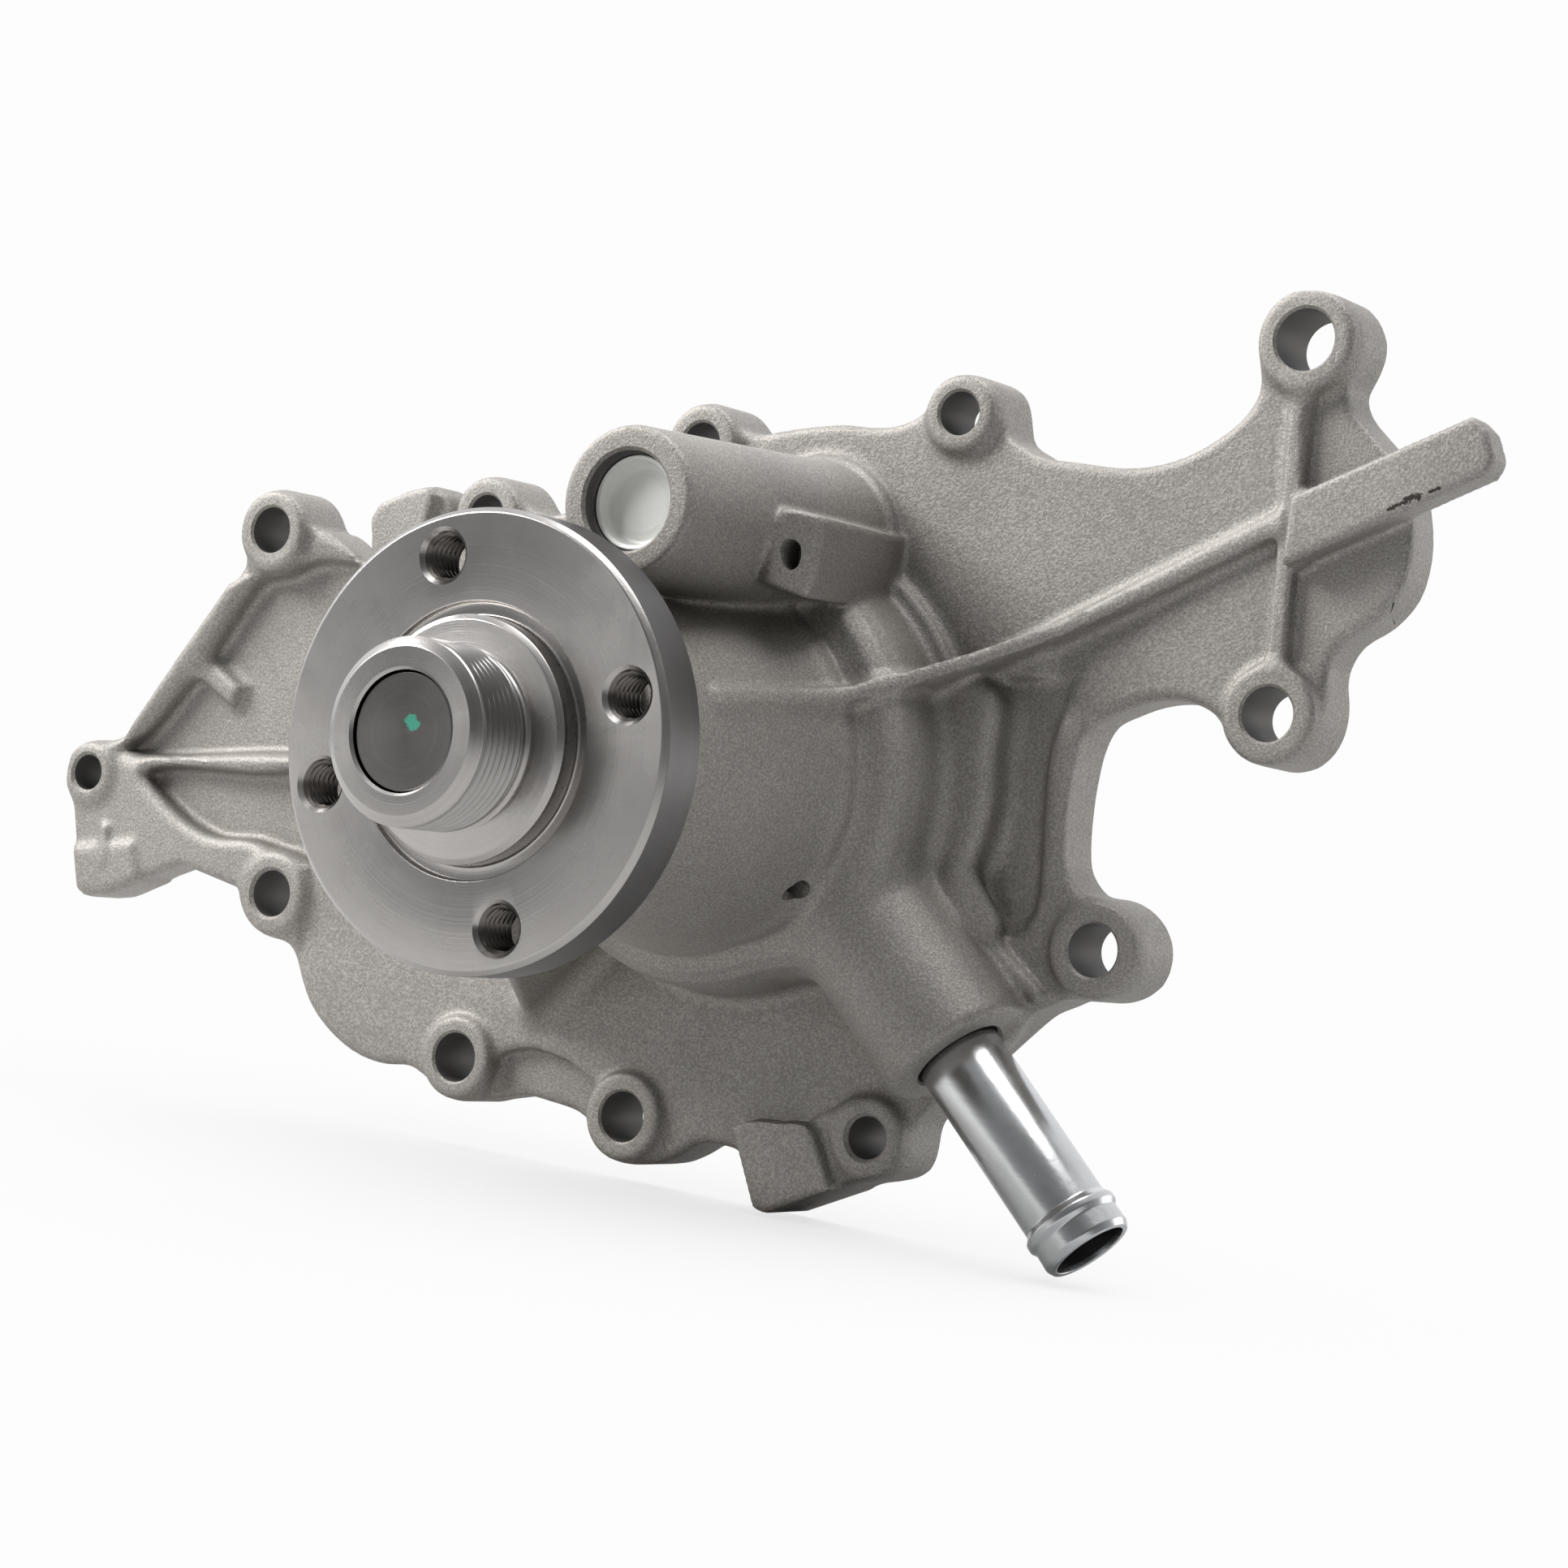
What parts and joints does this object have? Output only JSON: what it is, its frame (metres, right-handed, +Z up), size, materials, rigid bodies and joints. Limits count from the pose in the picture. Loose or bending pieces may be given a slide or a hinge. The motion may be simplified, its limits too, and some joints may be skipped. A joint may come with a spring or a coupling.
{
  "type": "engine coolant pump",
  "caption": "Mechanical engine coolant pump: cast housing with bolt bosses, fan hub with threaded nose, shaft bearing, face seal, impeller and side hose nipple.",
  "frame": {"origin": "on the shaft axis, in the plane of the machined gasket face, where the tail end of the shaft finishes", "axes": "+Y along the shaft from the hub towards the engine, +Z up as installed in the pictured pose, +X towards the wing with the raised bar"},
  "size_m": [0.2931, 0.113, 0.1678],
  "materials": {
    "cast_aluminium": "die-cast, shot-blasted, satin",
    "turned_steel": "lathe-turned, concentric tool marks",
    "shaft_steel": "hardened, ground, dark end face",
    "zinc_plated_steel": "zinc plated, faint green-yellow passivation",
    "bright_nickel_steel": "bright plated tube",
    "bearing_steel": "ground and polished",
    "cage_polymer": "glass-filled polyamide",
    "black_rubber": "moulded",
    "brass": "drawn sheet",
    "spring_steel": "bright wire",
    "carbon": "lapped carbon-graphite",
    "ceramic": "lapped alumina",
    "cast_iron": "as cast, machined hub face"
  },
  "bodies": {
    "pump": {"pump_housing": "cast_aluminium", "core_plug": "zinc_plated_steel", "hose_nipple": "bright_nickel_steel", "bearing_outer_ring": "bearing_steel", "front_bearing_seal": "black_rubber", "rear_bearing_seal": "black_rubber", "seal_cup": "brass", "seal_bellows": "black_rubber", "seal_spring": "spring_steel", "carbon_face_ring": "carbon"},
    "rotor": {"hub_flange": "turned_steel", "pump_shaft": "shaft_steel", "ceramic_seat": "ceramic", "seat_rubber_cup": "black_rubber", "impeller": "cast_iron"},
    "ball_set": {"ball_cage": "cage_polymer", "bearing_ball_1": "bearing_steel", "bearing_ball_2": "bearing_steel", "bearing_ball_3": "bearing_steel", "bearing_ball_4": "bearing_steel", "bearing_ball_5": "bearing_steel", "bearing_ball_6": "bearing_steel", "bearing_ball_7": "bearing_steel", "bearing_ball_8": "bearing_steel"},
    "roller_set": {"roller_cage": "cage_polymer", "bearing_roller_1": "bearing_steel", "bearing_roller_2": "bearing_steel", "bearing_roller_3": "bearing_steel", "bearing_roller_4": "bearing_steel", "bearing_roller_5": "bearing_steel", "bearing_roller_6": "bearing_steel", "bearing_roller_7": "bearing_steel", "bearing_roller_8": "bearing_steel", "bearing_roller_9": "bearing_steel", "bearing_roller_10": "bearing_steel"}
  },
  "joints": [
    {"name": "shaft_spin", "type": "hinge", "parent": "pump", "child": "rotor", "pos_m": [0, 0, 0], "axis": [0, 1, 0], "continuous": true},
    {"name": "ball_cage_turn", "type": "hinge", "parent": "pump", "child": "ball_set", "pos_m": [0, -0.0485, 0], "axis": [0, 1, 0], "continuous": true},
    {"name": "roller_cage_turn", "type": "hinge", "parent": "pump", "child": "roller_set", "pos_m": [0, -0.067, 0], "axis": [0, 1, 0], "continuous": true}
  ],
  "couplings": [
    {"joint": "ball_cage_turn", "follows": "shaft_spin", "ratio": 0.33846},
    {"joint": "roller_cage_turn", "follows": "shaft_spin", "ratio": 0.37356}
  ]
}
